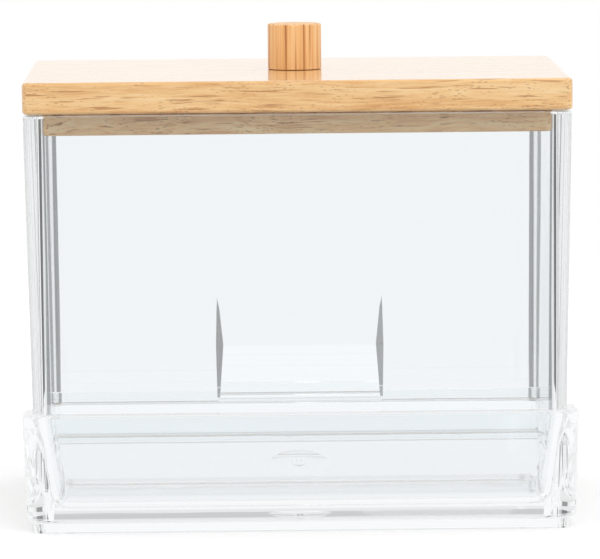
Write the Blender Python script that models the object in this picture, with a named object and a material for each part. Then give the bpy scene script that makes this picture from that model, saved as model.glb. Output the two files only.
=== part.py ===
# Cotton swab holder: a clear moulded hopper stands in a clear base tray whose front is a trough for the
# swabs, and a wooden lid with a turned knob drops into the hopper's mouth.
# Lengths are in metres and +Z is up. The front of the holder faces -Y.
# The origin is on the table, under the middle of the whole holder.

from math import asin, ceil, cos, pi, radians, sin, tan

import bmesh
import bpy
from mathutils import Vector

# Clearances
SEAM_GAP = 0.0003            # between pieces that touch
PLUG_CLEARANCE = 0.0006      # on each side, between the lid's plug and the hopper's walls

# Hopper, measured outside at its rim
HOPPER_WIDTH = 0.0898
HOPPER_DEPTH = 0.0618
HOPPER_HEIGHT = 0.0540
HOPPER_WALL = 0.0025             # at the rim; the walls thin towards the foot
HOPPER_DRAFT = radians(1.15)     # each wall's outside leans in towards the bottom
HOPPER_INNER_DRAFT = radians(0.5)
HOPPER_OUTER_CORNER = 0.0030
HOPPER_INNER_CORNER = 0.0012
HOPPER_RIM_ROUND = 0.0004

# Finger scoop sunk into the outside of the hopper's front wall, which stays flat inside
SCOOP_WIDTH = 0.0274
SCOOP_HEIGHT = 0.0166
SCOOP_DEPTH = 0.00053            # at its middle height, from where it shallows to both sides as an arc
SCOOP_RISE = 0.0073              # from the hopper's lower edge to the scoop's lower edge
SCOOP_END_DRAFT = radians(66)

# Base tray, heights above the table
FLOOR_HEIGHT = 0.0038            # top of the trough's floor
FLOOR_THICKNESS = 0.0021
SEAT_HEIGHT = 0.0131             # ledge that the hopper stands on
LIP_HEIGHT = 0.0020              # rim round the hopper's foot, above the ledge
FRONT_HEIGHT = 0.0195            # front wall and cheeks of the trough
LIP_THICKNESS = 0.0010
LEDGE_WIDTH = 0.0021
TROUGH_OPENING = 0.0068          # from the front wall to the hopper, at the ledge's height
TRAY_OUTER_DRAFT = radians(2)
TRAY_INNER_DRAFT = radians(8)
TRAY_OUTER_CORNER = 0.0034
TRAY_INNER_CORNER = 0.0030
TRAY_RIM_ROUND = 0.0007
TRAY_BOTTOM_ROUND = 0.0009
FLOOR_FILLET = 0.0026
CHEEK_TOP_ROUND = 0.0018
CHEEK_FOOT_ROUND = 0.0016
RAMP_START = 0.0280              # from the tray's front to where the floor starts to rise
RAMP_ANGLE = radians(11)
PLINTH_HEIGHT = 0.0016           # foot ring under the tray
PLINTH_INSET = 0.0015
PLINTH_WIDTH = 0.0016

# Moulding gate under the floor
GATE_DIAMETER = 0.0027
GATE_HEIGHT = 0.0006
GATE_DISH_DIAMETER = 0.0110
GATE_DISH_DEPTH = 0.0005

# Lid
BOARD_THICKNESS = 0.0052
BOARD_CORNER = 0.0012
BOARD_EDGE_ROUND = 0.0006
PLUG_THICKNESS = 0.0033
PLUG_CORNER = 0.0015
PLUG_EDGE_ROUND = 0.0003

# Knob and its screw
KNOB_DIAMETER = 0.0090
KNOB_HEIGHT = 0.0074
KNOB_EDGE_ROUND = 0.0003
SCREW_DIAMETER = 0.0030
SCREW_BITE = 0.0050              # length of screw inside the knob
SCREW_SINK = 0.0002              # head below the plug's face
SCREW_TIP = 0.0022
SCREW_HEAD_DIAMETER = 0.0058
SCREW_HEAD_HEIGHT = 0.0016
THREAD_PITCH = 0.00135
THREAD_DEPTH = 0.00045
RECESS_SPAN = 0.0030             # cross recess in the screw's head
RECESS_SLOT = 0.0007
RECESS_DEPTH = 0.0011

# Fineness of the curves
CORNER_STEPS = 6
EDGE_STEPS = 3
SCOOP_STEPS = 8
ROUND_STEPS = 48
SCREW_STEPS = 16
THREAD_STEPS = 6                 # along one turn

# Heights of the stack
hopper_bottom = SEAT_HEIGHT + SEAM_GAP
hopper_top = hopper_bottom + HOPPER_HEIGHT
board_bottom = hopper_top + SEAM_GAP
board_top = board_bottom + BOARD_THICKNESS
plug_top = board_bottom - SEAM_GAP
plug_bottom = plug_top - PLUG_THICKNESS
knob_bottom = board_top + SEAM_GAP
rim_height = SEAT_HEIGHT + LIP_HEIGHT

# Plan of the tray, worked out from the hopper's foot
foot_drop = (hopper_top - SEAT_HEIGHT) * tan(HOPPER_DRAFT)
foot_half_width = HOPPER_WIDTH / 2 - foot_drop
foot_half_depth = HOPPER_DEPTH / 2 - foot_drop
wall_at_seat = LEDGE_WIDTH + LIP_THICKNESS
tray_half_width = foot_half_width + SEAM_GAP + LIP_THICKNESS      # outside, at the ledge's height
tray_back = foot_half_depth + SEAM_GAP + LIP_THICKNESS            # outside, from the hopper's middle
tray_front = foot_half_depth + TROUGH_OPENING + wall_at_seat
tray_half_depth = (tray_front + tray_back) / 2

# Middle of the hopper and the lid, with the whole holder centred on the origin
front_lean = (FRONT_HEIGHT - SEAT_HEIGHT) * tan(TRAY_OUTER_DRAFT)
back_lean = LIP_HEIGHT * tan(TRAY_OUTER_DRAFT)
front_reach = tray_front + front_lean
back_reach = max(tray_back + back_lean, HOPPER_DEPTH / 2)
hopper_y = (front_reach - back_reach) / 2
tray_y = hopper_y - (tray_front - tray_back) / 2


def clear_scene():
    for old in list(bpy.data.objects):
        bpy.data.objects.remove(old, do_unlink=True)


def linear(srgb):
    return tuple(((c / 255 + 0.055) / 1.055) ** 2.4 if c > 10 else c / 255 / 12.92 for c in srgb)


def surface(name, srgb, roughness, metallic=0.0, transmission=0.0, ior=1.5):
    material = bpy.data.materials.new(name)
    material.use_nodes = True
    shader = material.node_tree.nodes["Principled BSDF"]
    shader.inputs["Base Color"].default_value = (*linear(srgb), 1)
    shader.inputs["Roughness"].default_value = roughness
    shader.inputs["Metallic"].default_value = metallic
    shader.inputs["Transmission Weight"].default_value = transmission
    shader.inputs["IOR"].default_value = ior
    return material


# A ring of points round a rectangle with round corners
def rounded_ring(half_x, half_y, radius, z):
    ring = []
    for quarter, (side_x, side_y) in enumerate(((1, 1), (-1, 1), (-1, -1), (1, -1))):
        for step in range(CORNER_STEPS + 1):
            turn = pi / 2 * (quarter + step / CORNER_STEPS)
            x = side_x * (half_x - radius) + radius * cos(turn)
            y = side_y * (half_y - radius) + radius * sin(turn)
            ring.append(Vector((x, y, z)))
    return ring


def round_ring(radius, z, steps):
    return [Vector((radius * cos(2 * pi * step / steps), radius * sin(2 * pi * step / steps), z))
            for step in range(steps)]


# Skin over a row of rings with equal point counts, capped at both ends or joined last to first
def loft(name, rings, closed=False):
    shape = bmesh.new()
    loops = [[shape.verts.new(point) for point in ring] for ring in rings]
    pairs = list(zip(loops, loops[1:]))
    if closed:
        pairs.append((loops[-1], loops[0]))
    else:
        shape.faces.new(reversed(loops[0]))
        shape.faces.new(loops[-1])
    for low, high in pairs:
        for here in range(len(low)):
            there = (here + 1) % len(low)
            shape.faces.new((low[here], low[there], high[there], high[here]))
    bmesh.ops.recalc_face_normals(shape, faces=shape.faces)
    mesh = bpy.data.meshes.new(name)
    shape.to_mesh(mesh)
    shape.free()
    return mesh


# A bar along X whose outline is a list of (y, z) points; its half length may change with y
def bar(name, outline, half_length):
    rings = [[Vector((side * half_length(y), y, z)) for y, z in outline] for side in (-1, 1)]
    return loft(name, rings)


def add_piece(name, mesh, location, material, parent=None):
    mesh.materials.append(material)
    mesh.shade_smooth()
    mesh.set_sharp_from_angle(angle=radians(30))
    piece = bpy.data.objects.new(name, mesh)
    piece.location = location
    piece.parent = parent
    bpy.context.scene.collection.objects.link(piece)
    return piece


# Adds or cuts away a helper shape, which keeps the piece's own local frame
def combine(piece, mesh, operation, location=(0, 0, 0), tilt=0.0):
    tool = bpy.data.objects.new(mesh.name, mesh)
    tool.parent = piece
    tool.location = location
    tool.rotation_euler.x = tilt
    tool.hide_render = True
    tool.display_type = 'WIRE'
    bpy.context.scene.collection.objects.link(tool)
    modifier = piece.modifiers.new(mesh.name, 'BOOLEAN')
    modifier.operation = operation
    modifier.solver = 'EXACT'
    modifier.object = tool


# (offset, rise) pairs of a quarter-round edge, from the face towards the side
def edge_arc(radius):
    turns = [pi / 2 * step / EDGE_STEPS for step in range(EDGE_STEPS + 1)]
    return [(radius * (1 - sin(turn)), radius * (1 - cos(turn))) for turn in turns]


# Rounded board lying on z = 0
def board_mesh(name, width, depth, thickness, corner, edge):
    rings = []
    for offset, rise in edge_arc(edge):
        rings.append(rounded_ring(width / 2 - offset, depth / 2 - offset, corner - offset, rise))
    for offset, rise in reversed(edge_arc(edge)):
        rings.append(rounded_ring(width / 2 - offset, depth / 2 - offset, corner - offset, thickness - rise))
    return loft(name, rings)


# Hopper
def hopper_ring(inset, height, radius, draft=HOPPER_DRAFT):
    lean = (HOPPER_HEIGHT - height) * tan(draft)
    return rounded_ring(HOPPER_WIDTH / 2 - lean - inset, HOPPER_DEPTH / 2 - lean - inset, radius, height)


def hopper_inner_ring(inset, height):
    radius = HOPPER_INNER_CORNER + HOPPER_WALL - inset
    return hopper_ring(inset, height, radius, HOPPER_INNER_DRAFT)


def build_hopper(material):
    rings = [hopper_ring(0, 0, HOPPER_OUTER_CORNER)]
    for offset, drop in reversed(edge_arc(HOPPER_RIM_ROUND)):
        rings.append(hopper_ring(offset, HOPPER_HEIGHT - drop, HOPPER_OUTER_CORNER - offset))
    for offset, drop in edge_arc(HOPPER_RIM_ROUND):
        rings.append(hopper_inner_ring(HOPPER_WALL - offset, HOPPER_HEIGHT - drop))
    rings.append(hopper_inner_ring(HOPPER_WALL, 0))
    hopper = add_piece("hopper", loft("hopper", rings, closed=True), (0, hopper_y, hopper_bottom), material)

    # The scoop leans with the front face. Its (depth, height) arc runs half as far again past that face
    radius = (SCOOP_HEIGHT ** 2 / 4 + SCOOP_DEPTH ** 2) / (2 * SCOOP_DEPTH)
    reach = asin(SCOOP_HEIGHT / 2 / radius) * 1.5
    outline = []
    for step in range(SCOOP_STEPS + 1):
        turn = reach * (2 * step / SCOOP_STEPS - 1)
        outline.append((SCOOP_DEPTH - radius * (1 - cos(turn)), radius * sin(turn)))

    def scoop_half(depth):
        return SCOOP_WIDTH / 2 - depth * tan(SCOOP_END_DRAFT)

    scoop_z = SCOOP_RISE + SCOOP_HEIGHT / 2
    face_y = -HOPPER_DEPTH / 2 + (HOPPER_HEIGHT - scoop_z) * tan(HOPPER_DRAFT)
    combine(hopper, bar("finger_scoop", outline, scoop_half), 'DIFFERENCE', (0, face_y, scoop_z), HOPPER_DRAFT)
    return hopper


# Base tray
def tray_ring(inset, height, draft, radius):
    lean = (height - SEAT_HEIGHT) * tan(draft)
    return rounded_ring(tray_half_width + lean - inset, tray_half_depth + lean - inset, radius, height)


def inner_ring(inset, height):
    return tray_ring(wall_at_seat + inset, height, TRAY_INNER_DRAFT, TRAY_INNER_CORNER - inset)


def outer_ring(inset, height):
    return tray_ring(inset, height, TRAY_OUTER_DRAFT, TRAY_OUTER_CORNER - inset)


# Tray as one loft: up from the floor, over the rim, down outside and round the foot ring
def tray_mesh():
    rings = []
    span = pi / 2 - TRAY_INNER_DRAFT
    tangent = FLOOR_FILLET * tan(span / 2)
    for step in range(EDGE_STEPS + 2):
        turn = span * step / (EDGE_STEPS + 1)
        rise = FLOOR_FILLET * (1 - cos(turn))
        inset = tangent - FLOOR_FILLET * sin(turn) + rise * tan(TRAY_INNER_DRAFT)
        rings.append(inner_ring(inset, FLOOR_HEIGHT + rise))
    for offset, drop in reversed(edge_arc(TRAY_RIM_ROUND)):
        rings.append(inner_ring(-offset, FRONT_HEIGHT - drop))
    for offset, drop in edge_arc(TRAY_RIM_ROUND):
        rings.append(outer_ring(offset, FRONT_HEIGHT - drop))
    for offset, rise in reversed(edge_arc(TRAY_BOTTOM_ROUND)):
        rings.append(outer_ring(offset, PLINTH_HEIGHT + rise))
    ceiling = FLOOR_HEIGHT - FLOOR_THICKNESS
    for inset, height in ((PLINTH_INSET, PLINTH_HEIGHT), (PLINTH_INSET, 0),
                          (PLINTH_INSET + PLINTH_WIDTH, 0), (PLINTH_INSET + PLINTH_WIDTH, ceiling)):
        rings.append(tray_ring(inset, height, 0, TRAY_OUTER_CORNER - inset))
    return loft("base_tray", rings)


# Wedge that rises from a level towards the back at the ramp's angle; it starts a little under the level
def wedge(name, level, start_y, end_y, half_width):
    sink = FLOOR_THICKNESS / 4
    outline = [(start_y - sink / tan(RAMP_ANGLE), level - sink), (end_y, level - sink),
               (end_y, level + (end_y - start_y) * tan(RAMP_ANGLE))]
    return bar(name, outline, lambda y: half_width)


def build_tray(material):
    tray = add_piece("base_tray", tray_mesh(), (0, tray_y, 0), material)
    floor_lean = (SEAT_HEIGHT - FLOOR_HEIGHT) * tan(TRAY_INNER_DRAFT)
    wall_bite = wall_at_seat / 3
    ramp_y = -tray_half_depth - front_lean + RAMP_START
    ramp_end = tray_half_depth - wall_at_seat + wall_bite
    ramp_half = tray_half_width - wall_at_seat - floor_lean + wall_bite
    combine(tray, wedge("ramp", FLOOR_HEIGHT, ramp_y, ramp_end, ramp_half), 'UNION')

    ring_inside = PLINTH_INSET + PLINTH_WIDTH
    hollow = wedge("ramp_hollow", FLOOR_HEIGHT - FLOOR_THICKNESS, ramp_y,
                   tray_half_depth - ring_inside, tray_half_width - ring_inside)
    combine(tray, hollow, 'DIFFERENCE')

    under_y = -tray_y
    under_z = FLOOR_HEIGHT - FLOOR_THICKNESS + (under_y - ramp_y) * tan(RAMP_ANGLE)
    dish_radius = (GATE_DISH_DIAMETER ** 2 / 4 + GATE_DISH_DEPTH ** 2) / (2 * GATE_DISH_DEPTH)
    dish_rings = []
    for step in range(EDGE_STEPS + 1):
        reach = GATE_DISH_DIAMETER / 2 * (1 - step / (EDGE_STEPS + 1))
        rise = GATE_DISH_DEPTH - dish_radius + (dish_radius ** 2 - reach ** 2) ** 0.5
        dish_rings.append(round_ring(reach, rise, ROUND_STEPS // 2))
    dish_rings.insert(0, round_ring(GATE_DISH_DIAMETER / 2, -FLOOR_THICKNESS / 4, ROUND_STEPS // 2))
    combine(tray, loft("gate_dish", dish_rings), 'DIFFERENCE', (0, under_y, under_z), RAMP_ANGLE)
    gate_rings = [round_ring(GATE_DIAMETER / 2 * 0.8, GATE_DISH_DEPTH - GATE_HEIGHT, ROUND_STEPS // 2),
                  round_ring(GATE_DIAMETER / 2, GATE_DISH_DEPTH + FLOOR_THICKNESS / 4, ROUND_STEPS // 2)]
    combine(tray, loft("gate", gate_rings), 'UNION', (0, under_y, under_z), RAMP_ANGLE)

    # The rebate is the hopper's own outline and a gap, from the ledge up
    rebate_rings = []
    for height in (SEAT_HEIGHT, FRONT_HEIGHT + LIP_HEIGHT):
        grow = SEAM_GAP + (height - SEAT_HEIGHT) * tan(HOPPER_DRAFT)
        rebate_rings.append(rounded_ring(foot_half_width + grow, foot_half_depth + grow,
                                         HOPPER_OUTER_CORNER + SEAM_GAP, height))
    combine(tray, loft("rebate", rebate_rings), 'DIFFERENCE', (0, hopper_y - tray_y, 0))

    # Behind the cheeks the walls drop to the rim, with a round top corner and a round foot
    cheek_y = hopper_y - tray_y - foot_half_depth
    step_height = FRONT_HEIGHT - rim_height
    foot = min(CHEEK_FOOT_ROUND, step_height / 2)
    top = min(CHEEK_TOP_ROUND, step_height / 2)
    beyond_y = tray_half_depth + wall_at_seat * 2
    above_z = FRONT_HEIGHT + LIP_HEIGHT
    outline = [(beyond_y, above_z), (beyond_y, rim_height)]
    for offset, rise in edge_arc(foot):
        outline.append((cheek_y + offset, rim_height + rise))
    for offset, drop in reversed(edge_arc(top)):
        outline.append((cheek_y - offset, FRONT_HEIGHT - drop))
    outline.append((cheek_y - top, above_z))
    reach = tray_half_width * 1.2
    combine(tray, bar("cheek_step", outline, lambda y: reach), 'DIFFERENCE')
    return tray


# Lid
def build_lid(board_material, plug_material, knob_material, screw_material):
    lift = bpy.data.objects.new("lid_lift", None)
    lift.location = (0, hopper_y, board_bottom)
    bpy.context.scene.collection.objects.link(lift)
    hole = SCREW_DIAMETER / 2 + SEAM_GAP

    board_shape = board_mesh("lid_board", HOPPER_WIDTH, HOPPER_DEPTH, BOARD_THICKNESS, BOARD_CORNER,
                             BOARD_EDGE_ROUND)
    board = add_piece("lid_board", board_shape, (0, 0, 0), board_material, lift)
    bore = loft("board_bore", [round_ring(hole, -BOARD_THICKNESS, ROUND_STEPS // 2),
                               round_ring(hole, BOARD_THICKNESS * 2, ROUND_STEPS // 2)])
    combine(board, bore, 'DIFFERENCE')

    mouth_shrink = 2 * (HOPPER_WALL + PLUG_CLEARANCE)
    plug_shape = board_mesh("lid_plug", HOPPER_WIDTH - mouth_shrink, HOPPER_DEPTH - mouth_shrink, PLUG_THICKNESS,
                            PLUG_CORNER, PLUG_EDGE_ROUND)
    plug = add_piece("lid_plug", plug_shape, (0, 0, plug_bottom - board_bottom), plug_material, lift)
    head_top = SCREW_SINK + SCREW_HEAD_HEIGHT + SEAM_GAP
    countersink = [round_ring(SCREW_HEAD_DIAMETER / 2 + SEAM_GAP, -PLUG_THICKNESS, ROUND_STEPS // 2),
                   round_ring(SCREW_HEAD_DIAMETER / 2 + SEAM_GAP, SCREW_SINK + SEAM_GAP, ROUND_STEPS // 2),
                   round_ring(hole, head_top, ROUND_STEPS // 2),
                   round_ring(hole, PLUG_THICKNESS * 2, ROUND_STEPS // 2)]
    combine(plug, loft("plug_bore", countersink), 'DIFFERENCE')

    # The knob is turned: out along its foot, up its side, over the edge, with the screw's hole from below
    radius = KNOB_DIAMETER / 2
    knob_rings = [round_ring(hole, SCREW_BITE + SEAM_GAP, ROUND_STEPS), round_ring(hole, 0, ROUND_STEPS),
                  round_ring(radius, 0, ROUND_STEPS)]
    for offset, drop in reversed(edge_arc(KNOB_EDGE_ROUND)):
        knob_rings.append(round_ring(radius - offset, KNOB_HEIGHT - drop, ROUND_STEPS))
    add_piece("knob", loft("knob", knob_rings), (0, 0, knob_bottom - board_bottom), knob_material, lift)
    build_screw(screw_material, lift)


# Wood screw standing on its head, with a thread that climbs one pitch for each turn
def build_screw(material, lift):
    head_z = plug_bottom + SCREW_SINK
    length = knob_bottom + SCREW_BITE - head_z
    crest = SCREW_DIAMETER / 2
    rings = [round_ring(SCREW_HEAD_DIAMETER / 2, 0, SCREW_STEPS),
             round_ring(crest - THREAD_DEPTH, SCREW_HEAD_HEIGHT, SCREW_STEPS)]
    rows = ceil((length - SCREW_HEAD_HEIGHT) / THREAD_PITCH * THREAD_STEPS)
    for row in range(1, rows + 1):
        z = SCREW_HEAD_HEIGHT + (length - SCREW_HEAD_HEIGHT) * row / rows
        taper = min(1, 0.1 + (length - z) / SCREW_TIP)
        ring = []
        for step in range(SCREW_STEPS):
            turn = step / SCREW_STEPS
            phase = (z / THREAD_PITCH - turn) % 1
            ridge = THREAD_DEPTH * max(0, 1 - 3 * abs(phase - 0.5)) if row < rows else 0
            reach = (crest - THREAD_DEPTH + ridge) * taper
            ring.append(Vector((reach * cos(2 * pi * turn), reach * sin(2 * pi * turn), z)))
        rings.append(ring)
    screw = add_piece("knob_screw", loft("knob_screw", rings), (0, 0, head_z - board_bottom), material, lift)

    cross = []
    for span, slot, z in ((RECESS_SPAN / 2, RECESS_SLOT / 2, -RECESS_DEPTH / 10),
                          (RECESS_SPAN / 4, RECESS_SLOT / 3, RECESS_DEPTH)):
        arm = [(span, -slot), (span, slot), (slot, slot)]
        ring = []
        for quarter in range(4):
            for x, y in arm:
                ring.append(Vector((x * cos(quarter * pi / 2) - y * sin(quarter * pi / 2),
                                    x * sin(quarter * pi / 2) + y * cos(quarter * pi / 2), z)))
        cross.append(ring)
    combine(screw, loft("cross_recess", cross), 'DIFFERENCE')


def main():
    clear_scene()
    clear_plastic = surface("clear polystyrene", (243, 247, 250), 0.04, transmission=1.0, ior=1.59)
    board_wood = surface("lacquered rubberwood", (229, 188, 137), 0.3)
    plug_wood = surface("plain rubberwood", (208, 173, 131), 0.5)
    bamboo = surface("turned bamboo", (226, 164, 98), 0.4)
    steel = surface("zinc-plated steel", (186, 188, 190), 0.35, metallic=1.0)
    build_tray(clear_plastic)
    build_hopper(clear_plastic)
    build_lid(board_wood, plug_wood, bamboo, steel)


main()
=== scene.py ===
# Cotton swab holder: a clear polystyrene hopper in a clear tray, with a rubberwood lid and a bamboo knob.
# Lengths in the dictionaries are millimetres. The front of the holder faces -Y, and z is height over the table.
from math import atan, ceil, cos, pi, radians, sin, sqrt, tan

import bmesh
import bpy
from mathutils import Matrix, Vector


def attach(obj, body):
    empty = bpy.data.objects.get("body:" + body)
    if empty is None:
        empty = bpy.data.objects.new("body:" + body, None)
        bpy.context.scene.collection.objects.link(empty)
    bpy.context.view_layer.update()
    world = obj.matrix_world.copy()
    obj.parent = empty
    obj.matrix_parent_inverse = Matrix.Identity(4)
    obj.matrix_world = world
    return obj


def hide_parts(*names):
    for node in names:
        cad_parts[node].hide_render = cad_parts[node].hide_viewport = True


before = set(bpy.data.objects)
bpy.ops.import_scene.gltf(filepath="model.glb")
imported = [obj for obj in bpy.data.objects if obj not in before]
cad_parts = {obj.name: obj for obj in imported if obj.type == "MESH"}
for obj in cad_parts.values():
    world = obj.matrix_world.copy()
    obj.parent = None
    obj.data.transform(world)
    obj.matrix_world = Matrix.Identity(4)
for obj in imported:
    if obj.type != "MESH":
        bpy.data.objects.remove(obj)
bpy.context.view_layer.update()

mm = 0.001
scene = bpy.context.scene


def linearColour(hexCode, alpha=1.0):  # sRGB hex to the linear values that the shaders want
    parts = [int(hexCode[i:i + 2], 16) / 255 for i in (1, 3, 5)]
    return (*[((c + 0.055) / 1.055) ** 2.4 if c > 0.04045 else c / 12.92 for c in parts], alpha)


def addNode(tree, kind, settings=None, links=None):  # one node with its sockets or options set and wired
    node = tree.nodes.new(kind)
    for key, value in (settings or {}).items():
        if isinstance(key, int) or key in node.inputs:
            node.inputs[key].default_value = value
        else:
            setattr(node, key, value)
    for key, source in (links or {}).items():
        tree.links.new(source, node.inputs[key])
    return node


def newMaterial(name):
    material = bpy.data.materials.new(name)
    material.use_nodes = True
    tree = material.node_tree
    return material, tree, tree.nodes["Principled BSDF"]


def skin(name, rings, closed=False):  # faces between rings of points, capped or joined last to first
    shape = bmesh.new()
    loops = [[shape.verts.new(point * mm) for point in ring] for ring in rings]
    pairs = list(zip(loops, loops[1:]))
    if closed:
        pairs.append((loops[-1], loops[0]))
    else:
        shape.faces.new(reversed(loops[0]))
        shape.faces.new(loops[-1])
    for low, high in pairs:
        for here in range(len(low)):
            there = (here + 1) % len(low)
            shape.faces.new((low[here], low[there], high[there], high[here]))
    bmesh.ops.remove_doubles(shape, verts=shape.verts, dist=1e-7)
    bmesh.ops.recalc_face_normals(shape, faces=shape.faces)
    mesh = bpy.data.meshes.new(name)
    shape.to_mesh(mesh)
    shape.free()
    return mesh


def bar(name, outline, halfLength):  # a bar along X with a (y, z) outline
    return skin(name, [[Vector((side * halfLength, y, z)) for y, z in outline] for side in (-1, 1)])


# A rectangle with round corners. Its columns are (x, depth) points along the front side
def roundedRing(halfX, halfY, radius, z, steps, columns=()):
    ring = []
    for quarter, (sideX, sideY) in enumerate(((1, 1), (-1, 1), (-1, -1), (1, -1))):
        if quarter == 3:
            ring += [Vector((x, depth - halfY, z)) for x, depth in columns]
        for step in range(steps + 1):
            turn = pi / 2 * (quarter + step / steps)
            ring.append(Vector((sideX * (halfX - radius) + radius * cos(turn),
                                sideY * (halfY - radius) + radius * sin(turn), z)))
    return ring


def roundRing(radius, z, steps):
    turns = [2 * pi * step / steps for step in range(steps)]
    return [Vector((radius * cos(turn), radius * sin(turn), z)) for turn in turns]


def edgeArc(radius, steps):  # (offset, drop) pairs of a quarter-round edge, from the flat face to the side
    turns = [pi / 2 * step / steps for step in range(steps + 1)]
    return [(radius * (1 - sin(turn)), radius * (1 - cos(turn))) for turn in turns]


def cutOrJoin(piece, mesh, operation, location=(0, 0, 0), tilt=0.0):  # a boolean with a helper, then applied
    tool = bpy.data.objects.new("helper", mesh)
    tool.location = Vector(location) * mm
    tool.rotation_euler.x = tilt
    scene.collection.objects.link(tool)
    modifier = piece.modifiers.new("shape", "BOOLEAN")
    modifier.operation = operation
    modifier.solver = "EXACT"
    modifier.object = tool
    bakeModifiers(piece)
    bpy.data.objects.remove(tool)


def bakeModifiers(piece):
    bpy.context.view_layer.update()
    done = bpy.data.meshes.new_from_object(piece.evaluated_get(bpy.context.evaluated_depsgraph_get()))
    piece.modifiers.clear()
    piece.data = done


def startPiece(name, mesh, location=(0, 0, 0)):
    piece = bpy.data.objects.new(name, mesh)
    piece.location = Vector(location) * mm
    scene.collection.objects.link(piece)
    return piece


# A slight bend between flat faces stays crisp, while the facets of a round edge are smoothed. Areas are in
# square millimetres and bends in degrees
crease = dict(mostBend=20.0, bothArea=60.0, bothBend=3.0, oneArea=200.0, oneBend=9.5)


def isCrease(edge):
    if not edge.is_manifold:
        return False
    small, large = sorted(face.calc_area() / mm ** 2 for face in edge.link_faces)
    bend = edge.calc_face_angle()
    bothFlat = small > crease["bothArea"] and bend > radians(crease["bothBend"])
    oneFlat = large > crease["oneArea"] and bend > radians(crease["oneBend"])
    return bend < radians(crease["mostBend"]) and (bothFlat or oneFlat)


def dressPiece(piece, material, node, body, softEdge=0.0, sharpFrom=35):  # edges, normals and finish
    if softEdge:
        bevel = piece.modifiers.new("softEdge", "BEVEL")
        bevel.width = softEdge * mm
        bevel.segments = 2
        bevel.limit_method = "ANGLE"
        bevel.angle_limit = radians(40)
        bevel.miter_outer = "MITER_ARC"
        bakeModifiers(piece)
    bpy.context.view_layer.update()
    shape = bmesh.new()
    shape.from_mesh(piece.data)
    bmesh.ops.transform(shape, matrix=piece.matrix_world, verts=shape.verts)
    bmesh.ops.remove_doubles(shape, verts=shape.verts, dist=2e-7)
    bmesh.ops.dissolve_degenerate(shape, edges=shape.edges, dist=1e-7)
    shape.to_mesh(piece.data)
    openEdges = sum(not edge.is_manifold for edge in shape.edges)
    creases = [edge.index for edge in shape.edges if isCrease(edge)]
    shape.free()
    piece.matrix_world = Matrix.Identity(4)  # like the CAD nodes, a piece has its place in its mesh
    piece.data.shade_smooth()
    piece.data.set_sharp_from_angle(angle=radians(sharpFrom))
    for index in creases:
        piece.data.edges[index].use_edge_sharp = True
    flat = piece.modifiers.new("flatFaces", "WEIGHTED_NORMAL")  # big faces stay flat beside round edges
    flat.keep_sharp = True
    flat.weight = 100
    piece.data.materials.clear()
    piece.data.materials.append(material)
    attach(piece, body)
    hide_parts(node)
    print("piece", piece.name, len(piece.data.polygons), "faces,", openEdges, "open edges")


# Clear parts: crystal polystyrene, injection moulded against polished steel, so it is glossy and colourless,
# with a faint cool cast through its thickness and no texture but a trace of flow waviness and fingertip haze
def crystalPolystyrene():
    look = dict(tint="#FAFCFD", ior=1.59, roughLow=0.0, roughHigh=0.03, hazeSize=9.0, waveSize=7.0,
                waveHeight=0.004)
    material, tree, shader = newMaterial("crystal polystyrene, polished")
    place = addNode(tree, "ShaderNodeTexCoord")
    haze = addNode(tree, "ShaderNodeTexNoise",
                   {"Scale": 1 / (look["hazeSize"] * mm), "Detail": 5.0, "Roughness": 0.65},
                   {"Vector": place.outputs["Object"]})
    rough = addNode(tree, "ShaderNodeMapRange",
                    {"From Min": 0.45, "From Max": 0.8, "To Min": look["roughLow"],
                     "To Max": look["roughHigh"]},
                    {"Value": haze.outputs["Fac"]})
    wave = addNode(tree, "ShaderNodeTexNoise", {"Scale": 1 / (look["waveSize"] * mm), "Detail": 1.0},
                   {"Vector": place.outputs["Object"]})
    bump = addNode(tree, "ShaderNodeBump", {"Strength": 1.0, "Distance": look["waveHeight"] * mm},
                   {"Height": wave.outputs["Fac"]})
    tree.links.new(rough.outputs["Result"], shader.inputs["Roughness"])
    tree.links.new(bump.outputs["Normal"], shader.inputs["Normal"])
    shader.inputs["Base Color"].default_value = linearColour(look["tint"])
    shader.inputs["IOR"].default_value = look["ior"]
    shader.inputs["Transmission Weight"].default_value = 1.0
    return material


clearPlastic = crystalPolystyrene()

hopper = dict(width=89.8, depth=61.8, height=54.0, wall=2.5, draft=1.15, innerDraft=0.5, outerCorner=3.0,
              innerCorner=1.2, rimRound=0.4, footRound=0.08, footLean=0.22, bottomZ=13.4, middleY=4.377,
              gap=0.3, cornerSteps=12)
# The bends are (height, depth into the wall, radius)
scoop = dict(width=27.4, rise=7.0, endDraft=66.0, endBow=0.25, endRound=0.15, endFillet=0.15,
             bends=[(0.0, 0.0, 0.5), (0.5, 0.18, 0.5), (9.2, 0.53, 4.0), (15.3, 0.18, 10.0),
                    (16.8, 0.0, 10.0)],
             bendSteps=6, filletSteps=4)


def hopperRing(inset, height, radius, columns, draft="draft", frontLift=0.0):
    lean = (hopper["height"] - height) * tan(radians(hopper[draft]))
    ring = roundedRing(hopper["width"] / 2 - lean - inset, hopper["depth"] / 2 - lean - inset, radius,
                       height, hopper["cornerSteps"], columns)
    for point in ring:
        point.z += frontLift if point.y < 0 else 0.0
    return ring


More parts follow.
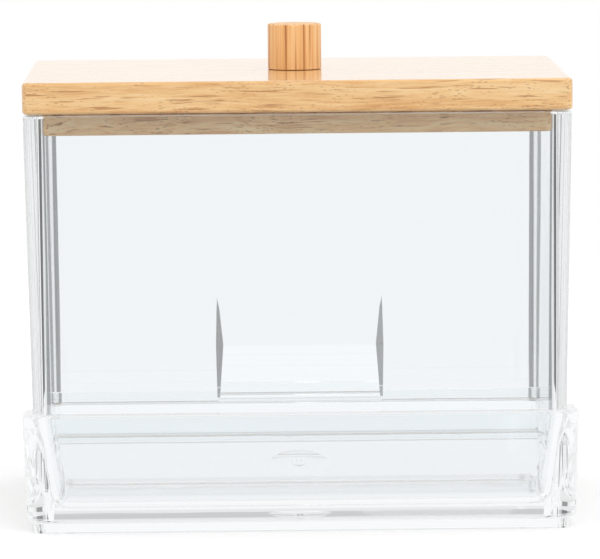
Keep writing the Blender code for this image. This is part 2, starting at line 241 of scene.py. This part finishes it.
def scoopColumns(depth, halfWidth):  # (x, depth) across the scoop at one height
    draft = radians(scoop["endDraft"])
    turn = pi / 2 - draft
    steps = scoop["filletSteps"]
    room = 0.98 * depth / cos(draft)  # where the scoop is shallow, its roundings shrink to fit the end wall
    share = min(1.0, room / ((scoop["endRound"] + scoop["endFillet"]) * tan(turn / 2)))
    corners = ((scoop["endRound"] * share, halfWidth, 0.0, 1),
               (scoop["endFillet"] * share, halfWidth - depth * tan(draft), depth, -1))
    half = []
    for radius, cornerX, cornerDepth, side in corners:
        back = radius * tan(turn / 2)
        for step in range(steps + 1):
            angle = turn * (step / steps if side == 1 else 1 - step / steps)
            half.append((cornerX + side * (back - radius * sin(angle)),
                         cornerDepth + side * radius * (1 - cos(angle))))
    return [(-x, inward) for x, inward in half] + half[::-1]


def scoopRows():  # (height, depth into the wall) up the scoop, from its (height, depth, radius) bends
    bends = scoop["bends"]
    slopes = [atan((b[1] - a[1]) / (b[0] - a[0])) for a, b in zip(bends, bends[1:])]
    rows = []
    for (height, depth, radius), before, after in zip(bends, [0.0] + slopes, slopes + [0.0]):
        back = radius * tan(abs(after - before) / 2)
        side = 1 if after > before else -1
        centreHeight = height - back * cos(before) - side * radius * sin(before)
        centreDepth = depth - back * sin(before) + side * radius * cos(before)
        for step in range(scoop["bendSteps"] + 1):
            slope = before + (after - before) * step / scoop["bendSteps"]
            rows.append((scoop["rise"] + centreHeight + side * radius * sin(slope),
                         max(0.0, centreDepth - side * radius * cos(slope))))
    return rows


def hopperMesh():  # up the outside from the foot, over the rim and down the inside
    wall = hopper["wall"]
    deepest = max(depth for height, depth, radius in scoop["bends"])
    half = scoop["width"] / 2 - scoop["endBow"]
    flat = scoopColumns(0.0, half)
    rings = []
    for offset, drop in edgeArc(hopper["footRound"], 2):  # in front, the foot's face rises to the outside
        rings.append(hopperRing(offset, drop, hopper["outerCorner"] - offset, flat,
                                frontLift=hopper["footLean"]))
    for height, depth in scoopRows():
        columns = scoopColumns(depth, half + scoop["endBow"] * depth / deepest)
        rings.append(hopperRing(0, height, hopper["outerCorner"], columns))
    for offset, drop in reversed(edgeArc(hopper["rimRound"], 4)):
        rings.append(hopperRing(offset, hopper["height"] - drop, hopper["outerCorner"] - offset, flat))
    for offset, drop in edgeArc(hopper["rimRound"], 4):
        rings.append(hopperRing(wall - offset, hopper["height"] - drop, hopper["innerCorner"] + offset,
                                flat, "innerDraft"))
    for offset, drop in reversed(edgeArc(hopper["footRound"], 2)):
        rings.append(hopperRing(wall - offset, drop, hopper["innerCorner"] + offset, flat, "innerDraft"))
    return skin("hopperShell", rings, closed=True)


hopperShell = startPiece("hopperShell", hopperMesh(), (0, hopper["middleY"], hopper["bottomZ"]))
dressPiece(hopperShell, clearPlastic, "hopper", "root")
print("hopper done")

# Tray: the hopper stands in a rebate in its walls, and a ramp, hollow underneath, rises towards the back
tray = dict(halfWidth=45.11, halfDepth=35.41, middleY=0.077, floorHeight=3.8, floorThickness=2.1,
            seatHeight=13.1, frontHeight=19.5, rimHeight=15.1, wallAtSeat=3.1, outerDraft=2.0,
            innerDraft=8.0, outerCorner=3.4, innerCorner=3.0, rimRound=0.7, bottomRound=0.9,
            floorFillet=2.6, rampStart=28.0, rampAngle=11.0, cheekTop=1.8, cheekFoot=1.6, plinthInset=1.5,
            plinthWidth=1.6, plinthHeight=1.6, softEdge=0.12, cornerSteps=12)
gate = dict(diameter=2.7, height=0.35, dishDiameter=11.0, dishDepth=0.2, steps=48, dishSteps=8)


def trayRing(inset, height, draft, radius):
    lean = (height - tray["seatHeight"]) * tan(radians(draft))
    return roundedRing(tray["halfWidth"] + lean - inset, tray["halfDepth"] + lean - inset, radius, height,
                       tray["cornerSteps"])


def trayInnerRing(inset, height):
    return trayRing(tray["wallAtSeat"] + inset, height, tray["innerDraft"], tray["innerCorner"] - inset)


def trayOuterRing(inset, height):
    return trayRing(inset, height, tray["outerDraft"], tray["outerCorner"] - inset)


def trayMesh():  # up from the floor, over the rim, down outside and round the foot ring
    rings = []
    draft = radians(tray["innerDraft"])
    span = pi / 2 - draft
    filletSteps = 8
    for step in range(filletSteps + 1):
        turn = span * step / filletSteps
        rise = tray["floorFillet"] * (1 - cos(turn))
        inset = tray["floorFillet"] * (tan(span / 2) - sin(turn)) + rise * tan(draft)
        rings.append(trayInnerRing(inset, tray["floorHeight"] + rise))
    for offset, drop in reversed(edgeArc(tray["rimRound"], 6)):
        rings.append(trayInnerRing(-offset, tray["frontHeight"] - drop))
    for offset, drop in edgeArc(tray["rimRound"], 6):
        rings.append(trayOuterRing(offset, tray["frontHeight"] - drop))
    for offset, rise in reversed(edgeArc(tray["bottomRound"], 6)):
        rings.append(trayOuterRing(offset, tray["plinthHeight"] + rise))
    inside = tray["plinthInset"] + tray["plinthWidth"]
    ceiling = tray["floorHeight"] - tray["floorThickness"]
    footRing = ((tray["plinthInset"], tray["plinthHeight"]), (tray["plinthInset"], 0), (inside, 0),
                (inside, ceiling))
    for inset, height in footRing:
        rings.append(trayRing(inset, height, 0, tray["outerCorner"] - inset))
    return skin("trayShell", rings)


def wedge(name, level, startY, endY, halfWidth):  # rises to the back at the ramp's angle
    sink = tray["floorThickness"] / 4
    slope = tan(radians(tray["rampAngle"]))
    return bar(name, [(startY - sink / slope, level - sink), (endY, level - sink),
                      (endY, level + (endY - startY) * slope)], halfWidth)


def buildTray():
    piece = startPiece("trayShell", trayMesh())
    outerLean = tan(radians(tray["outerDraft"])) * (tray["frontHeight"] - tray["seatHeight"])
    floorLean = tan(radians(tray["innerDraft"])) * (tray["seatHeight"] - tray["floorHeight"])
    intoWall = tray["wallAtSeat"] / 3
    rampY = -tray["halfDepth"] - outerLean + tray["rampStart"]
    ramp = wedge("ramp", tray["floorHeight"], rampY, tray["halfDepth"] - tray["wallAtSeat"] + intoWall,
                 tray["halfWidth"] - tray["wallAtSeat"] - floorLean + intoWall)
    cutOrJoin(piece, ramp, "UNION")
    inside = tray["plinthInset"] + tray["plinthWidth"]
    ceiling = tray["floorHeight"] - tray["floorThickness"]
    hollow = wedge("rampHollow", ceiling, rampY, tray["halfDepth"] - inside, tray["halfWidth"] - inside)
    cutOrJoin(piece, hollow, "DIFFERENCE")

    # the runner was snipped off here, and left a stub in a shallow dish
    tilt = radians(tray["rampAngle"])
    under = (0, -tray["middleY"], ceiling + (-tray["middleY"] - rampY) * tan(tilt))
    sphere = (gate["dishDiameter"] ** 2 / 4 + gate["dishDepth"] ** 2) / (2 * gate["dishDepth"])
    bite = 0.5
    dish = [roundRing(gate["dishDiameter"] / 2, -bite, gate["steps"])]
    for step in range(gate["dishSteps"]):
        reach = gate["dishDiameter"] / 2 * (1 - step / gate["dishSteps"])
        level = gate["dishDepth"] - sphere + sqrt(sphere ** 2 - reach ** 2)
        dish.append(roundRing(reach, level, gate["steps"]))
    cutOrJoin(piece, skin("dish", dish), "DIFFERENCE", under, tilt)
    stub = [roundRing(gate["diameter"] * 0.4, gate["dishDepth"] - gate["height"], gate["steps"]),
            roundRing(gate["diameter"] / 2, gate["dishDepth"] + bite, gate["steps"])]
    cutOrJoin(piece, skin("stub", stub), "UNION", under, tilt)

    # rebate for the hopper's foot, then the side and back walls come down to its rim
    drop = (hopper["height"] + hopper["gap"]) * tan(radians(hopper["draft"]))
    highZ = tray["frontHeight"] + 2
    rebate = []
    for height in (tray["seatHeight"], highZ):
        grow = hopper["gap"] - drop + (height - tray["seatHeight"]) * tan(radians(hopper["draft"]))
        rebate.append(roundedRing(hopper["width"] / 2 + grow, hopper["depth"] / 2 + grow,
                                  hopper["outerCorner"] + hopper["gap"], height, tray["cornerSteps"]))
    cutOrJoin(piece, skin("rebate", rebate), "DIFFERENCE", (0, hopper["middleY"] - tray["middleY"], 0))
    cheekY = hopper["middleY"] - tray["middleY"] - hopper["depth"] / 2 + drop
    farY = tray["halfDepth"] + 6
    outline = [(farY, highZ), (farY, tray["rimHeight"])]
    for offset, rise in edgeArc(tray["cheekFoot"], 8):
        outline.append((cheekY + offset, tray["rimHeight"] + rise))
    for offset, fall in reversed(edgeArc(tray["cheekTop"], 8)):
        outline.append((cheekY - offset, tray["frontHeight"] - fall))
    outline.append((cheekY - tray["cheekTop"], highZ))
    cutOrJoin(piece, bar("cheekStep", outline, tray["halfWidth"] * 1.2), "DIFFERENCE")
    piece.location.y = tray["middleY"] * mm
    return piece


trayShell = buildTray()
dressPiece(trayShell, clearPlastic, "base_tray", "root", softEdge=tray["softEdge"])
print("tray done")


# Lid boards: rubberwood, planed and sanded. Fine streaks and short dark pores lie along the grain on a warm
# tan ground. The lid board has a gloss lacquer over them, the plug under it only a thin sealer. The plug's
# ground is painted lighter than the board's: painted fill light for the shade it sits in under the board
# and behind the clear wall. Pairs are (length along the grain, width across it). The pores are drawn at
# nearly twice their real width, or they wouldn't show in the render
lacquerLook = dict(light="#F7D39C", middle="#F0C283", dark="#DDA35F", lineColour="#B57A3C",
                   poreColour="#8F5A2A", band=(34.0, 1.7), streak=(6.0, 0.30), line=(9.0, 0.34),
                   lineStrength=0.9, pore=(1.3, 0.30), crowd=(8.0, 3.0), poreLeast=0.14, poreShare=0.34,
                   poreStrength=0.5, poreDepth=0.03, waveLong=24.0, waveHeight=1.6, relief=0.3, ior=1.5,
                   roughness=0.42, coat=1.0, coatRoughness=0.09)
# the plug's sealer finish is real, but its lighter light, middle and dark colours are painted fill light for
# the shade under the board
sealedLookWithPaintedFill = dict(lacquerLook, light="#FEE2B2", middle="#FACF95", dark="#E0A96B", poreColour="#8A5A30",
                  coat=0.0, band=(22.0, 1.2), waveLong=16.0, waveHeight=4.0, roughness=0.55)


def rubberwood(finish, look):
    material, tree, shader = newMaterial(finish)
    place = addNode(tree, "ShaderNodeTexCoord")
    drift = addNode(tree, "ShaderNodeTexNoise", {"Scale": 1 / (look["waveLong"] * mm), "Detail": 1.0},
                    {"Vector": place.outputs["Object"]})
    waveHeight = look["waveHeight"] * mm
    lift = addNode(tree, "ShaderNodeMath", {"operation": "MULTIPLY_ADD", 1: waveHeight, 2: -waveHeight / 2},
                   {0: drift.outputs["Fac"]})
    across = addNode(tree, "ShaderNodeCombineXYZ", None, {1: lift.outputs[0], 2: lift.outputs[0]})
    wavy = addNode(tree, "ShaderNodeVectorMath", {"operation": "ADD"},
                   {0: place.outputs["Object"], 1: across.outputs[0]})

    grain = {}  # for each pattern, coordinates counted in its lengths along X and its widths across
    for name, shift in (("band", 0.0), ("streak", 7.0), ("line", 3.0), ("pore", 0.0), ("crowd", 11.0)):
        length, width = look[name]
        scale = (1 / (length * mm), 1 / (width * mm), 1 / (width * mm))
        mapping = addNode(tree, "ShaderNodeMapping", {"Scale": scale, "Location": (shift, shift, shift)},
                          {"Vector": wavy.outputs[0]})
        grain[name] = mapping.outputs["Vector"]

    band = addNode(tree, "ShaderNodeTexNoise", {"Scale": 1.0, "Detail": 3.0, "Roughness": 0.5},
                   {"Vector": grain["band"]})
    streak = addNode(tree, "ShaderNodeTexNoise", {"Scale": 1.0, "Detail": 3.0, "Roughness": 0.65},
                     {"Vector": grain["streak"]})
    both = addNode(tree, "ShaderNodeMath", {"operation": "MULTIPLY", 1: 0.5}, {0: band.outputs["Fac"]})
    tone = addNode(tree, "ShaderNodeMath", {"operation": "MULTIPLY_ADD", 1: 0.5},
                   {0: streak.outputs["Fac"], 2: both.outputs[0]})
    ground = addNode(tree, "ShaderNodeValToRGB", None, {"Fac": tone.outputs[0]})
    low, high = ground.color_ramp.elements
    low.position = 0.36
    low.color = linearColour(look["dark"])
    high.position = 0.64
    high.color = linearColour(look["light"])
    ground.color_ramp.elements.new(0.5).color = linearColour(look["middle"])

    thin = addNode(tree, "ShaderNodeTexNoise", {"Scale": 1.0, "Detail": 2.0, "Roughness": 0.5},
                   {"Vector": grain["line"]})
    lineMask = addNode(tree, "ShaderNodeMapRange",
                       {"From Min": 0.59, "From Max": 0.68, "To Min": 0.0, "To Max": look["lineStrength"]},
                       {"Value": thin.outputs["Fac"]})
    lined = addNode(tree, "ShaderNodeMix", {"data_type": "RGBA", 7: linearColour(look["lineColour"])},
                    {0: lineMask.outputs["Result"], 6: ground.outputs["Color"]})

    cells = addNode(tree, "ShaderNodeTexVoronoi", {"Scale": 1.0, "Randomness": 1.0},
                    {"Vector": grain["pore"]})
    crowd = addNode(tree, "ShaderNodeTexNoise", {"Scale": 1.0, "Detail": 1.0},
                    {"Vector": grain["crowd"]})
    reach = addNode(tree, "ShaderNodeMapRange",
                    {"From Min": 0.35, "From Max": 0.65, "To Min": look["poreLeast"],
                     "To Max": look["poreShare"]},
                    {"Value": crowd.outputs["Fac"]})
    inside = addNode(tree, "ShaderNodeMath", {"operation": "SUBTRACT"},
                     {0: reach.outputs["Result"], 1: cells.outputs["Distance"]})
    poreMask = addNode(tree, "ShaderNodeMapRange",
                       {"From Min": 0.0, "From Max": 0.12, "To Min": 0.0, "To Max": look["poreStrength"]},
                       {"Value": inside.outputs[0]})
    colour = addNode(tree, "ShaderNodeMix", {"data_type": "RGBA", 7: linearColour(look["poreColour"])},
                     {0: poreMask.outputs["Result"], 6: lined.outputs[2]})
    hollow = addNode(tree, "ShaderNodeMath", {"operation": "SUBTRACT"},
                     {0: streak.outputs["Fac"], 1: poreMask.outputs["Result"]})
    bump = addNode(tree, "ShaderNodeBump", {"Strength": look["relief"], "Distance": look["poreDepth"] * mm},
                   {"Height": hollow.outputs[0]})
    dull = addNode(tree, "ShaderNodeMapRange",
                   {"From Min": 0.3, "From Max": 0.7, "To Min": look["roughness"] - 0.06,
                    "To Max": look["roughness"] + 0.08},
                   {"Value": band.outputs["Fac"]})
    tree.links.new(colour.outputs[2], shader.inputs["Base Color"])
    tree.links.new(dull.outputs["Result"], shader.inputs["Roughness"])
    tree.links.new(bump.outputs["Normal"], shader.inputs["Normal"])
    shader.inputs["IOR"].default_value = look["ior"]
    shader.inputs["Coat Weight"].default_value = look["coat"]
    shader.inputs["Coat Roughness"].default_value = look["coatRoughness"]
    shader.inputs["Coat IOR"].default_value = look["ior"]
    return material


board = dict(width=89.8, depth=61.8, thickness=5.2, corner=1.2, edgeRound=0.6, bottomZ=67.7)
plug = dict(width=83.6, depth=55.6, thickness=3.45, corner=1.5, edgeRound=0.3, bottomZ=64.1)
screw = dict(diameter=3.0, headDiameter=5.8, headHeight=1.6, headEdge=0.15, sink=0.2, bite=5.0, tip=2.2,
             pitch=1.35, threadDepth=0.45, hole=3.6, recessSpan=3.0, recessSlot=0.7, recessDepth=1.1,
             steps=40, stepsPerPitch=14, holeSteps=48)


def boardMesh(name, size):
    rings = []
    edge = edgeArc(size["edgeRound"], 5)
    levels = edge + [(offset, size["thickness"] - rise) for offset, rise in reversed(edge)]
    for offset, level in levels:
        rings.append(roundedRing(size["width"] / 2 - offset, size["depth"] / 2 - offset,
                                 size["corner"] - offset, level, 10))
    return skin(name, rings)


lacquered = rubberwood("rubberwood, gloss lacquer", lacquerLook)
# the plug's material is a lighter copy of the board's wood: painted fill light where the board's overhang and
# the clear wall shade it
sealed = rubberwood("rubberwood, sanded and sealed, with painted fill light", sealedLookWithPaintedFill)
middle = Vector((0, hopper["middleY"], 0))
upward = Vector((0, 0, 1))
bore = [roundRing(screw["hole"] / 2, level, screw["holeSteps"]) for level in (60, 80)]  # past both faces

lidBoard = startPiece("lidBoard", boardMesh("lidBoard", board), middle + upward * board["bottomZ"])
cutOrJoin(lidBoard, skin("bore", bore), "DIFFERENCE", middle)
dressPiece(lidBoard, lacquered, "lid_board", "lid")

plugPlace = middle + upward * plug["bottomZ"]
lidPlug = startPiece("lidPlug", boardMesh("lidPlug", plug), plugPlace)
headRadius = screw["headDiameter"] / 2 + hopper["gap"]
headTop = screw["sink"] + hopper["gap"]
sinkProfile = [(headRadius, -3), (headRadius, headTop), (screw["hole"] / 2, headTop + screw["headHeight"]),
               (screw["hole"] / 2, 6)]
countersink = [roundRing(radius, level, screw["holeSteps"]) for radius, level in sinkProfile]
cutOrJoin(lidPlug, skin("countersink", countersink), "DIFFERENCE", plugPlace)
dressPiece(lidPlug, sealed, "lid_plug", "lid")
print("lid boards done")


# Knob: bamboo, turned from laminated strips and oiled, so it is satin. Dark fibre bundles run up its side as
# fine lines and end in dots on its top. Pairs are (length along the fibres, width). The pale strands are drawn
# nearly three times as coarse as they are, or they wouldn't show in the render
knob = dict(diameter=9.0, height=7.62, edgeRound=0.3, footRound=0.1, bottomZ=72.98, holeDepth=5.3, steps=96)


def turnedBamboo():
    look = dict(light="#F9D8A6", middle="#F2BF82", dark="#DB9D60", fibre="#9A5522", bundle=(60.0, 0.62),
                fibreShare=0.2, fibreStrength=0.75, strand=(14.0, 0.22), strandScale=0.35, relief=0.02,
                roughness=0.42)
    material, tree, shader = newMaterial("bamboo, turned and oiled")
    place = addNode(tree, "ShaderNodeTexCoord")
    length, width = look["strand"]
    scale = (1 / (width * mm), 1 / (width * mm), 1 / (length * mm))
    strandPlace = addNode(tree, "ShaderNodeMapping", {"Scale": scale}, {"Vector": place.outputs["Object"]})
    strand = addNode(tree, "ShaderNodeTexNoise",
                     {"Scale": look["strandScale"], "Detail": 4.0, "Roughness": 0.65},
                     {"Vector": strandPlace.outputs["Vector"]})
    ground = addNode(tree, "ShaderNodeValToRGB", None, {"Fac": strand.outputs["Fac"]})
    low, high = ground.color_ramp.elements
    low.position = 0.32
    low.color = linearColour(look["dark"])
    high.position = 0.66
    high.color = linearColour(look["light"])
    ground.color_ramp.elements.new(0.5).color = linearColour(look["middle"])
    length, width = look["bundle"]
    scale = (1 / (width * mm), 1 / (width * mm), 1 / (length * mm))
    bundlePlace = addNode(tree, "ShaderNodeMapping", {"Scale": scale}, {"Vector": place.outputs["Object"]})
    bundles = addNode(tree, "ShaderNodeTexVoronoi", {"Scale": 1.0, "Randomness": 0.85},
                      {"Vector": bundlePlace.outputs["Vector"]})
    mask = addNode(tree, "ShaderNodeMapRange",
                   {"From Min": look["fibreShare"] * 1.5, "From Max": look["fibreShare"], "To Min": 0.0,
                    "To Max": look["fibreStrength"]},
                   {"Value": bundles.outputs["Distance"]})
    colour = addNode(tree, "ShaderNodeMix", {"data_type": "RGBA", 7: linearColour(look["fibre"])},
                     {0: mask.outputs["Result"], 6: ground.outputs["Color"]})
    bump = addNode(tree, "ShaderNodeBump", {"Strength": 0.4, "Distance": look["relief"] * mm},
                   {"Height": strand.outputs["Fac"]})
    tree.links.new(colour.outputs[2], shader.inputs["Base Color"])
    tree.links.new(bump.outputs["Normal"], shader.inputs["Normal"])
    shader.inputs["Roughness"].default_value = look["roughness"]
    return material


profile = [(screw["hole"] / 2, knob["holeDepth"]), (screw["hole"] / 2, 0)]
profile += [(knob["diameter"] / 2 - offset, rise) for offset, rise in edgeArc(knob["footRound"], 2)]
for offset, drop in reversed(edgeArc(knob["edgeRound"], 4)):
    profile.append((knob["diameter"] / 2 - offset, knob["height"] - drop))
knobRings = [roundRing(radius, level, knob["steps"]) for radius, level in profile]
turnedKnob = startPiece("turnedKnob", skin("turnedKnob", knobRings), middle + upward * knob["bottomZ"])
dressPiece(turnedKnob, turnedBamboo(), "knob", "lid")


# Screw: steel, rolled thread, zinc-plated bright, so it is a pale grey metal with a slightly uneven gloss
def zincSteel():
    look = dict(colour="#BABCBE", cloudSize=10 / 9, roughLow=0.22, roughHigh=0.42)
    material, tree, shader = newMaterial("steel, bright zinc")
    place = addNode(tree, "ShaderNodeTexCoord")
    cloud = addNode(tree, "ShaderNodeTexNoise", {"Scale": 1 / (look["cloudSize"] * mm), "Detail": 3.0},
                    {"Vector": place.outputs["Object"]})
    rough = addNode(tree, "ShaderNodeMapRange", {"To Min": look["roughLow"], "To Max": look["roughHigh"]},
                    {"Value": cloud.outputs["Fac"]})
    tree.links.new(rough.outputs["Result"], shader.inputs["Roughness"])
    shader.inputs["Base Color"].default_value = linearColour(look["colour"])
    shader.inputs["Metallic"].default_value = 1.0
    return material


def screwMesh():  # standing on its head, with a thread that climbs one pitch for each turn
    length = knob["bottomZ"] + screw["bite"] - plug["bottomZ"] - screw["sink"]
    core = screw["diameter"] / 2 - screw["threadDepth"]
    headRadius = screw["headDiameter"] / 2
    head = [(headRadius, 0), (headRadius, screw["headEdge"]), (core, screw["headHeight"])]
    rings = [roundRing(radius, level, screw["steps"]) for radius, level in head]
    rows = ceil((length - screw["headHeight"]) / screw["pitch"] * screw["stepsPerPitch"])
    for row in range(1, rows + 1):
        z = screw["headHeight"] + (length - screw["headHeight"]) * row / rows
        taper = min(1, 0.1 + (length - z) / screw["tip"])
        ring = []
        for step in range(screw["steps"]):
            turn = 2 * pi * step / screw["steps"]
            phase = (z / screw["pitch"] - step / screw["steps"]) % 1
            ridge = screw["threadDepth"] * max(0, 1 - 3 * abs(phase - 0.5)) if row < rows else 0
            reach = (core + ridge) * taper
            ring.append(Vector((reach * cos(turn), reach * sin(turn), z)))
        rings.append(ring)
    return skin("woodScrew", rings)


def crossMesh():  # the recess for a cross-head driver, narrower towards its bottom
    rings = []
    for span, slot, z in ((screw["recessSpan"] / 2, screw["recessSlot"] / 2, -0.1),
                          (screw["recessSpan"] / 4, screw["recessSlot"] / 3, screw["recessDepth"])):
        arm = (Vector((span, -slot, z)), Vector((span, slot, z)), Vector((slot, slot, z)))
        quarters = [Matrix.Rotation(quarter * pi / 2, 3, "Z") for quarter in range(4)]
        rings.append([quarter @ corner for quarter in quarters for corner in arm])
    return skin("cross", rings)


screwPlace = middle + upward * (plug["bottomZ"] + screw["sink"])
woodScrew = startPiece("woodScrew", screwMesh(), screwPlace)
cutOrJoin(woodScrew, crossMesh(), "DIFFERENCE", screwPlace)
dressPiece(woodScrew, zincSteel(), "knob_screw", "lid", sharpFrom=40)
print("knob and screw done")

# Studio: a pale floor and a plain white surround. Only rays that come through the clear plastic see its
# darker parts, which draw the edges of clear things: a dark card to the left and to the right of straight
# behind, dark sides low down, and a dimmer strip just over the horizon. A low white screen stands round the
# sides and the front. Angles are in degrees, and a pair of them is where something starts to fade in and
# where it is full
studio = dict(floorRadius=400.0, nearRadius=70.0, nearRise=0.02, floorColour="#C8C8C8", floorGlow=0.5,
              floorWhite=0.98, tableWhite=1.0, skyLevel=1.0, horizon=-7.0, cardsEnd=(12.0, 22.0),
              screenWhite=1.0, screenFrom=(24.0, 32.0), screenFoot=(-1.0, 3.0), screenTop=(22.0, 14.0),
              keyPower=1.2, keySize=500.0, keyPlace=(260.0, -520.0, 620.0), keyTarget=(0.0, 0.0, 40.0),
              lens=310.25, cameraPlace=(-12.2, -866.7, 127.2), yaw=0.841, pitch=5.9, roll=-0.508, bounces=80)
# Degrees to the left or right of straight behind, and the brightness there
cards = [(0, 0.96), (4.5, 0.96), (6.5, 0.27), (16.5, 0.27), (18.5, 0.82), (28, 0.92), (40, 1.0), (56, 1.0),
         (62, 0.15), (125, 0.15), (132, 0.92), (180, 0.92)]
# Degrees over the horizon, and the share of the light that is left there
overhead = [(0, 1.0), (1.5, 1.0), (3.5, 0.62), (10, 0.62), (14, 0.8), (18, 0.84), (50, 0.84), (58, 0.92),
            (90, 0.92)]


def paleFloor():  # the diffuse part holds the shadow, while mirrored and refracted rays see plain white
    material, tree, shader = newMaterial("pale studio floor")
    shader.inputs["Base Color"].default_value = linearColour(studio["floorColour"])
    shader.inputs["Roughness"].default_value = 1.0
    shader.inputs["Specular IOR Level"].default_value = 0.0
    shader.inputs["Emission Color"].default_value = (1, 1, 1, 1)
    path = addNode(tree, "ShaderNodeLightPath")
    glow = addNode(tree, "ShaderNodeMath", {"operation": "MULTIPLY", 1: studio["floorGlow"]},
                   {0: path.outputs["Is Camera Ray"]})
    seen = addNode(tree, "ShaderNodeMath", {"operation": "MAXIMUM"},
                   {0: path.outputs["Is Glossy Ray"], 1: path.outputs["Is Transmission Ray"]})
    white = addNode(tree, "ShaderNodeEmission", {"Strength": studio["floorWhite"]})
    either = addNode(tree, "ShaderNodeMixShader", None,
                     {0: seen.outputs[0], 1: shader.outputs[0], 2: white.outputs[0]})
    tree.links.new(glow.outputs[0], shader.inputs["Emission Strength"])
    tree.links.new(either.outputs[0], tree.nodes["Material Output"].inputs["Surface"])
    return material


floorPaint = paleFloor()
for name, radius, drop in (("studioFloor", studio["floorRadius"], studio["nearRise"]),
                           ("floorUnderHolder", studio["nearRadius"], 0.0)):
    floor = startPiece(name, skin(name, [roundRing(radius, -drop, 96), roundRing(radius, -drop - 2.0, 96)]))
    floor.data.materials.append(floorPaint)
    floor.visible_glossy = name == "floorUnderHolder"  # farther out, the plastic and the lacquer see the sky
    floor.visible_transmission = name == "floorUnderHolder"

world = bpy.data.worlds.new("studio")
scene.world = world
world.use_nodes = True
sky = world.node_tree
ray = addNode(sky, "ShaderNodeTexCoord")
xyz = addNode(sky, "ShaderNodeSeparateXYZ", None, {0: ray.outputs["Generated"]})
azimuth = addNode(sky, "ShaderNodeMath", {"operation": "ARCTAN2"},
                  {0: xyz.outputs["X"], 1: xyz.outputs["Y"]})
offBack = addNode(sky, "ShaderNodeMath", {"operation": "ABSOLUTE"}, {0: azimuth.outputs[0]})
height = addNode(sky, "ShaderNodeMath", {"operation": "ARCSINE"}, {0: xyz.outputs["Z"]})

aside = addNode(sky, "ShaderNodeMath", {"operation": "DIVIDE", 1: pi}, {0: offBack.outputs[0]})
rise = addNode(sky, "ShaderNodeMath", {"operation": "DIVIDE", 1: pi / 2}, {0: height.outputs[0]})
card = addNode(sky, "ShaderNodeValToRGB", None, {"Fac": aside.outputs[0]})
ceiling = addNode(sky, "ShaderNodeValToRGB", None, {"Fac": rise.outputs[0]})
for ramp, levels, span in ((card, cards, 180), (ceiling, overhead, 90)):
    stops = ramp.color_ramp.elements
    stops.remove(stops[1])
    for degrees, brightness in levels:
        stop = stops.new(degrees / span) if degrees else stops[0]
        stop.color = (brightness, brightness, brightness, 1)

fades = {}  # 0 before the first angle of a pair, 1 past the second
for name, angle in (("cardsEnd", height), ("screenFrom", offBack), ("screenFoot", height),
                    ("screenTop", height)):
    start, full = studio[name]
    fades[name] = addNode(sky, "ShaderNodeMapRange", {"From Min": radians(start), "From Max": radians(full)},
                          {"Value": angle.outputs[0]}).outputs["Result"]
standing = addNode(sky, "ShaderNodeMix", {"data_type": "FLOAT", 3: 1.0},
                   {0: fades["cardsEnd"], 2: card.outputs["Color"]})
shaded = addNode(sky, "ShaderNodeMath", {"operation": "MULTIPLY"},
                 {0: standing.outputs[0], 1: ceiling.outputs["Color"]})
screenHeight = addNode(sky, "ShaderNodeMath", {"operation": "MULTIPLY"},
                       {0: fades["screenFoot"], 1: fades["screenTop"]})
screenShape = addNode(sky, "ShaderNodeMath", {"operation": "MULTIPLY"},
                      {0: fades["screenFrom"], 1: screenHeight.outputs[0]})
screen = addNode(sky, "ShaderNodeMath", {"operation": "MULTIPLY", 1: studio["screenWhite"]},
                 {0: screenShape.outputs[0]})
around = addNode(sky, "ShaderNodeMath", {"operation": "MAXIMUM"},
                 {0: screen.outputs[0], 1: shaded.outputs[0]})
overTable = addNode(sky, "ShaderNodeMath", {"operation": "GREATER_THAN", 1: radians(studio["horizon"])},
                    {0: height.outputs[0]})
refracted = addNode(sky, "ShaderNodeMix", {"data_type": "FLOAT", 2: studio["tableWhite"]},
                    {0: overTable.outputs[0], 3: around.outputs[0]})
path = addNode(sky, "ShaderNodeLightPath")
lit = addNode(sky, "ShaderNodeMix", {"data_type": "FLOAT", 2: studio["skyLevel"]},
              {0: path.outputs["Is Transmission Ray"], 3: refracted.outputs[0]})
strength = addNode(sky, "ShaderNodeMix", {"data_type": "FLOAT", 3: 1.0},
                   {0: path.outputs["Is Camera Ray"], 2: lit.outputs[0]})
background = sky.nodes["Background"]
background.inputs["Color"].default_value = (1, 1, 1, 1)
sky.links.new(strength.outputs[0], background.inputs["Strength"])

keyData = bpy.data.lights.new("softKey", "AREA")
keyData.shape = "DISK"
keyData.size = studio["keySize"] * mm
keyData.energy = studio["keyPower"]
key = bpy.data.objects.new("softKey", keyData)
key.visible_glossy = False  # no bright disc on the lacquer, but its light still comes through the clear walls
key.location = Vector(studio["keyPlace"]) * mm
towards = Vector(studio["keyTarget"]) * mm - key.location
key.rotation_euler = towards.to_track_quat("-Z", "Y").to_euler()
scene.collection.objects.link(key)

lens = bpy.data.cameras.new("photoView")
lens.lens = studio["lens"]
lens.sensor_width = 36
lens.clip_start = 0.01
lens.clip_end = 20
camera = bpy.data.objects.new("photoView", lens)
yaw, pitch, roll = (radians(studio[name]) for name in ("yaw", "pitch", "roll"))
ahead = Vector((sin(yaw) * cos(pitch), cos(yaw) * cos(pitch), -sin(pitch)))
right = Vector((cos(yaw), -sin(yaw), 0))
up = right.cross(ahead)
right, up = right * cos(roll) + up * sin(roll), up * cos(roll) - right * sin(roll)
camera.matrix_world = Matrix((right, up, -ahead)).transposed().to_4x4()
camera.location = Vector(studio["cameraPlace"]) * mm
scene.collection.objects.link(camera)
scene.camera = camera
scene.view_settings.view_transform = "Standard"
scene.cycles.max_bounces = studio["bounces"]  # light runs a long way inside the clear walls
scene.cycles.transmission_bounces = studio["bounces"]
scene.cycles.glossy_bounces = studio["bounces"]
print("studio done")
